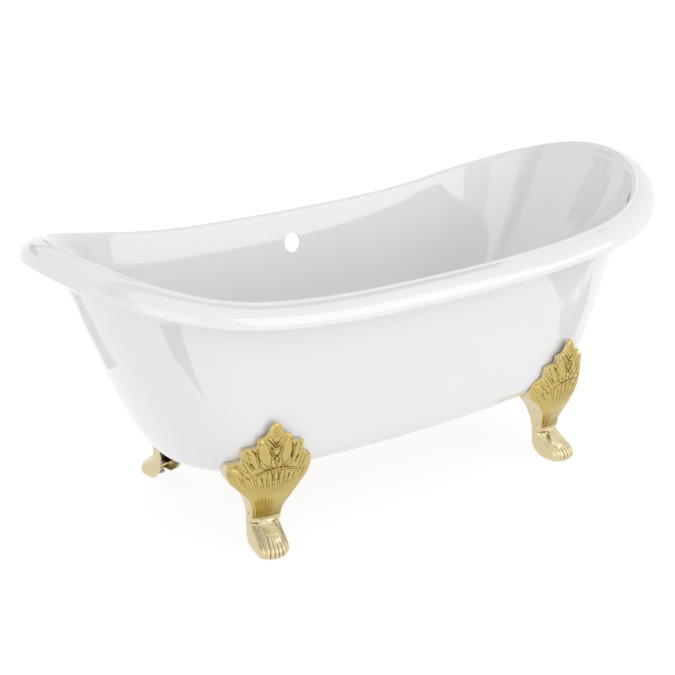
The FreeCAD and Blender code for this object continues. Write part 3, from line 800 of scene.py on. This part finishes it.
def nodeMaterial(name, colour, roughness, metallic=0.0, **more):
    # a Principled material whose roughness and relief vary with soft noise on Object coordinates
    material = bpy.data.materials.new(name)
    material.use_nodes = True
    nodes, links = material.node_tree.nodes, material.node_tree.links
    shader = nodes["Principled BSDF"]
    shader.inputs["Base Color"].default_value = (*colour, 1)
    shader.inputs["Metallic"].default_value = metallic
    for socket, value in more.get("sockets", {}).items():
        shader.inputs[socket].default_value = value
    place = nodes.new("ShaderNodeTexCoord")
    noise = nodes.new("ShaderNodeTexNoise")
    noise.inputs["Scale"].default_value = more.get("scale", 30.0)
    noise.inputs["Detail"].default_value = more.get("detail", 3.0)
    links.new(place.outputs["Object"], noise.inputs["Vector"])
    spread = nodes.new("ShaderNodeMapRange")
    spread.inputs["To Min"].default_value = roughness * (1 - more.get("vary", 0.15))
    spread.inputs["To Max"].default_value = roughness * (1 + more.get("vary", 0.15))
    links.new(noise.outputs["Fac"], spread.inputs["Value"])
    links.new(spread.outputs["Result"], shader.inputs["Roughness"])
    bump = nodes.new("ShaderNodeBump")
    bump.inputs["Strength"].default_value = more.get("bump", 0.05)
    bump.inputs["Distance"].default_value = more.get("depth", 0.001)
    links.new(noise.outputs["Fac"], bump.inputs["Height"])
    links.new(bump.outputs["Normal"], shader.inputs["Normal"])
    return material


def tint(material, low, high, scale, detail=4.0):
    # two tones of the base colour, mixed by noise
    nodes, links = material.node_tree.nodes, material.node_tree.links
    noise = nodes.new("ShaderNodeTexNoise")
    noise.inputs["Scale"].default_value = scale
    noise.inputs["Detail"].default_value = detail
    ramp = nodes.new("ShaderNodeValToRGB")
    ramp.color_ramp.elements[0].position = 0.35
    ramp.color_ramp.elements[1].position = 0.65
    ramp.color_ramp.elements[0].color = (*low, 1)
    ramp.color_ramp.elements[1].color = (*high, 1)
    links.new(nodes["Texture Coordinate"].outputs["Object"], noise.inputs["Vector"])
    links.new(noise.outputs["Fac"], ramp.inputs["Fac"])
    links.new(ramp.outputs["Color"], nodes["Principled BSDF"].inputs["Base Color"])
    return material


whiteAcrylic = nodeMaterial(
    "whiteAcrylic", (0.89, 0.89, 0.90), 0.05, scale=2.5, bump=0.02, depth=0.0015,
    sockets={"IOR": 1.49, "Coat Weight": 1.0, "Coat IOR": 1.6, "Coat Roughness": 0.02},
)
tint(whiteAcrylic, (0.883, 0.883, 0.893), (0.897, 0.897, 0.905), 3.0)

gold = {
    "plain": (0.8, 0.6, 0.25),
    "leaf": (0.62, 0.48, 0.165),
    "paw": (0.72, 0.62, 0.38),
    # the painted shade colour, laid over the hollows and the line above the toes
    "hollow": (0.16, 0.11, 0.02),
    "roughness": 0.24,
    "hollowFrom": 0.04,  # the painted shade value at which the dark painted shade colour starts, and where it is full
    "hollowFull": 0.7,
}


def goldMaterial():
    # yellow on the carved leaf, paler on the leg and paw, with painted shade in the hollows
    material = nodeMaterial(
        "goldCasting", gold["plain"], gold["roughness"],
        metallic=1.0, scale=220.0, bump=0.08, depth=0.0005,
    )
    nodes, links = material.node_tree.nodes, material.node_tree.links
    leafTone, paintedShade = nodes.new("ShaderNodeAttribute"), nodes.new("ShaderNodeAttribute")
    leafTone.attribute_name, paintedShade.attribute_name = "leafTone", "paintedShade"
    metal = nodes.new("ShaderNodeMix")
    metal.data_type = "RGBA"
    metal.inputs["A"].default_value = (*gold["paw"], 1)
    metal.inputs["B"].default_value = (*gold["leaf"], 1)
    links.new(leafTone.outputs["Fac"], metal.inputs["Factor"])
    # how much of the painted shade colour each point takes
    depth = nodes.new("ShaderNodeMapRange")
    depth.inputs["From Min"].default_value = gold["hollowFrom"]
    depth.inputs["From Max"].default_value = gold["hollowFull"]
    links.new(paintedShade.outputs["Fac"], depth.inputs["Value"])
    shaded = nodes.new("ShaderNodeMix")
    shaded.data_type = "RGBA"
    shaded.inputs["B"].default_value = (*gold["hollow"], 1)
    links.new(depth.outputs["Result"], shaded.inputs["Factor"])
    links.new(metal.outputs["Result"], shaded.inputs["A"])
    links.new(shaded.outputs["Result"], nodes["Principled BSDF"].inputs["Base Color"])
    return material


goldCasting = goldMaterial()
sealedBoard = nodeMaterial("sealedBoard", (0.5, 0.4, 0.28), 0.6, scale=90.0, bump=0.4)
tint(sealedBoard, (0.40, 0.31, 0.21), (0.60, 0.49, 0.35), 220.0)
zincSteel = nodeMaterial("zincSteel", (0.62, 0.63, 0.65), 0.32, metallic=1.0, scale=400.0, bump=0.1)
turnedBrass = nodeMaterial("turnedBrass", (0.70, 0.52, 0.24), 0.35, metallic=1.0, scale=300.0, bump=0.1)
padNylon = nodeMaterial("padNylon", (0.80, 0.80, 0.77), 0.5, scale=250.0, bump=0.15)
soleRubber = nodeMaterial("soleRubber", (0.03, 0.03, 0.03), 0.75, scale=300.0, bump=0.3)


def coat(piece, material):
    piece.data.materials.clear()
    piece.data.materials.append(material)


for shell, node in ((innerShell, "inner_shell"), (outerSkin, "outer_skin")):
    makeActive(shell)
    bpy.ops.object.shade_smooth_by_angle(angle=radians(bath["smoothAngle"]))
    coat(shell, whiteAcrylic)
    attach(shell, "bath")
    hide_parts(node)

for corner, piece in feet.items():
    coat(piece, goldCasting)
    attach(piece, "bath")
    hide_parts("claw_foot_" + corner)

nodeCoats = {
    "base_board": sealedBoard, "foot_bolts": zincSteel, "foot_washers": zincSteel,
    "lock_nuts": zincSteel, "levelling_screw": zincSteel, "board_inserts": turnedBrass,
    "levelling_pad": padNylon, "pad_sole": soleRubber,
}
for name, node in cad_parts.items():
    for start, material in nodeCoats.items():
        if name.startswith(start):
            coat(node, material)
print("materials set")

# the studio: a pale floor, a white surround and soft lamps

studio = {
    "ambient": 0.78,
    "floorSize": 40.0,
    "floorDrop": 0.0005,
    "floorColour": (0.97, 0.97, 0.97),
    "floorRoughness": 0.9,
    "floorGlow": 1.1,
    "floorGlowShare": 0.8,
    "lamps": {
        "key": {"place": (1.6, -3.2, 2.2), "size": 2.6, "power": 21.0},
        "front": {"place": (-2.6, -3.0, 1.6), "size": 2.4, "power": 10.5},
    },
    "lampAim": (0, 0, 0.4),
}


def seenDirectly(tree):
    # 1 for camera, glossy and transmission rays, so the object, metal and all, shows a white surround
    path = tree.nodes.new("ShaderNodeLightPath")
    largest = path.outputs["Is Camera Ray"]
    for name in ("Is Glossy Ray", "Is Transmission Ray"):
        pick = tree.nodes.new("ShaderNodeMath")
        pick.operation = "MAXIMUM"
        tree.links.new(largest, pick.inputs[0])
        tree.links.new(path.outputs[name], pick.inputs[1])
        largest = pick.outputs[0]
    return largest


def makeSurround():
    world = bpy.data.worlds.new("surround")
    bpy.context.scene.world = world
    world.use_nodes = True
    tree = world.node_tree
    sky = tree.nodes["Background"]
    sky.inputs["Color"].default_value = (1, 1, 1, 1)
    level = tree.nodes.new("ShaderNodeMapRange")
    level.inputs["To Min"].default_value = studio["ambient"]
    level.inputs["To Max"].default_value = 1.0
    tree.links.new(seenDirectly(tree), level.inputs["Value"])
    tree.links.new(level.outputs["Result"], sky.inputs["Strength"])


def makeFloor():
    clearSelection()
    bpy.ops.mesh.primitive_plane_add(size=studio["floorSize"], location=(0, 0, -studio["floorDrop"]))
    floor = added("floor")
    paint = bpy.data.materials.new("floorWhite")
    paint.use_nodes = True
    tree = paint.node_tree
    matt = tree.nodes["Principled BSDF"]
    matt.inputs["Base Color"].default_value = (*studio["floorColour"], 1)
    matt.inputs["Roughness"].default_value = studio["floorRoughness"]
    glow = tree.nodes.new("ShaderNodeEmission")
    glow.inputs["Strength"].default_value = studio["floorGlow"]
    share = tree.nodes.new("ShaderNodeMath")
    share.operation = "MULTIPLY"
    share.inputs[1].default_value = studio["floorGlowShare"]
    tree.links.new(seenDirectly(tree), share.inputs[0])
    blend = tree.nodes.new("ShaderNodeMixShader")
    tree.links.new(share.outputs[0], blend.inputs["Fac"])
    tree.links.new(matt.outputs[0], blend.inputs[1])
    tree.links.new(glow.outputs[0], blend.inputs[2])
    tree.links.new(blend.outputs[0], tree.nodes["Material Output"].inputs["Surface"])
    coat(floor, paint)


def hangLamps():
    for name, lamp in studio["lamps"].items():
        bpy.ops.object.light_add(type="AREA", location=lamp["place"])
        light = bpy.context.object
        light.name = name
        light.data.size = lamp["size"]
        light.data.energy = lamp["power"]
        aim = Vector(studio["lampAim"]) - Vector(lamp["place"])
        light.rotation_euler = aim.to_track_quat("-Z", "Y").to_euler()


# dark cards that show as soft strips in the bath's shine; a strip's edges are in pixels of the photograph

cardRoom = {
    "distance": 3.0,
    "lift": 0.01,
    "grid": (3, 14),
    "nearby": ((-4, 0), (4, 0), (0, -4), (0, 4), (-3, -3), (3, 3), (-3, 3), (3, -3)),
    "sameFace": 0.9,
}
cards = {
    "cardLeftEdge": {
        "shell": outerSkin, "level": 0.75,
        "left": ((71, 291), (77, 306), (84, 323), (97, 349), (109, 369)),
        "right": ((80, 296), (86, 308), (93, 322), (104, 344), (118, 366)),
    },
    "cardWedge": {
        "shell": outerSkin, "level": 0.0,
        "left": ((160, 324), (165, 338), (173, 356), (188, 376), (203, 396)),
        "right": ((181, 328), (184, 340), (188, 354), (195, 374), (204, 396)),
    },
    "cardRightBand": {
        "shell": outerSkin, "level": 0.3,
        "left": ((568, 271), (567, 281), (564, 302), (560, 318), (557, 334)),
        "right": ((593, 265), (591, 281), (587, 300), (581, 318), (574, 336)),
    },
    "cardInner": {
        "shell": innerShell, "level": 0.4,
        "left": ((521, 160), (524, 178), (519, 200), (508, 224), (493, 261)),
        "right": ((534, 158), (536, 168), (530, 190), (519, 217), (500, 260)),
    },
    "cardEnd": {
        "shell": innerShell, "level": 0.5,
        "left": ((590, 153), (594, 168), (589, 190), (580, 217), (569, 235)),
        "right": ((610, 160), (611, 168), (609, 182), (598, 210), (578, 235)),
    },
}


def viewRay(column, row):
    # from the camera through a place in the photograph, counted in pixels from its top left corner
    turn = Matrix.Rotation(radians(camera["azimuth"]), 3, "Z")
    turn = turn @ Matrix.Rotation(pi / 2 - radians(camera["elevation"]), 3, "X")
    half = camera["pixels"] / 2
    spread = camera["sensor"] / camera["lens"] / camera["pixels"]
    return (turn @ Vector(((column - half) * spread, (half - row) * spread, -1))).normalized()


def mirrored(shell, column, row):
    # where a card stands, or lies on the floor, that the shell shows at this place in the photograph
    start, ray = Vector(camera["place"]), viewRay(column, row)
    hit, place, facing, _ = shell.ray_cast(start, ray)
    if not hit:
        return None
    facing = facing.copy()
    for across, down in cardRoom["nearby"]:
        near, _, turned, _ = shell.ray_cast(start, viewRay(column + across, row + down))
        if near and turned.dot(facing) > cardRoom["sameFace"] * facing.length:
            facing += turned
    facing.normalize()
    shine = ray - 2 * ray.dot(facing) * facing
    reach = cardRoom["distance"]
    if shine.z < 0:
        reach = min(reach, (place.z - cardRoom["lift"]) / -shine.z)
    return place + shine * reach


def resampled(line, share):
    spot = share * (len(line) - 1)
    low = min(int(spot), len(line) - 2)
    return Vector(line[low]).lerp(Vector(line[low + 1]), spot - low)


def hangCard(name, card):
    # seen only by shiny surfaces, so it neither shades nor hides anything
    clearSelection()
    columns, rows = cardRoom["grid"]
    bpy.ops.mesh.primitive_grid_add(x_subdivisions=columns, y_subdivisions=rows, size=1)
    sheet = added(name)
    lost = 0
    for vert in sheet.data.vertices:
        rise, cross = vert.co.y + 0.5, vert.co.x + 0.5
        spot = resampled(card["left"], rise).lerp(resampled(card["right"], rise), cross)
        place = mirrored(card["shell"], spot.x, spot.y)
        if place:
            vert.co = place
        else:
            lost += 1
    if lost:
        print(name, "misses the shell at", lost, "points")
    paint = bpy.data.materials.new(name + "Grey")
    paint.use_nodes = True
    tree = paint.node_tree
    glow = tree.nodes.new("ShaderNodeEmission")
    glow.inputs["Strength"].default_value = card["level"]
    tree.links.new(glow.outputs[0], tree.nodes["Material Output"].inputs["Surface"])
    coat(sheet, paint)
    sheet.visible_camera = sheet.visible_diffuse = False
    sheet.visible_shadow = sheet.visible_transmission = False


def makeCamera():
    data = bpy.data.cameras.new("camera")
    data.sensor_width = camera["sensor"]
    data.lens = camera["lens"]
    data.clip_end = 100
    view = bpy.data.objects.new("camera", data)
    bpy.context.scene.collection.objects.link(view)
    view.location = camera["place"]
    view.rotation_euler = (pi / 2 - radians(camera["elevation"]), 0, radians(camera["azimuth"]))
    bpy.context.scene.camera = view


makeSurround()
makeFloor()
hangLamps()
for name, card in cards.items():
    hangCard(name, card)
makeCamera()
bpy.context.scene.view_settings.view_transform = "Standard"
print("studio and camera set")
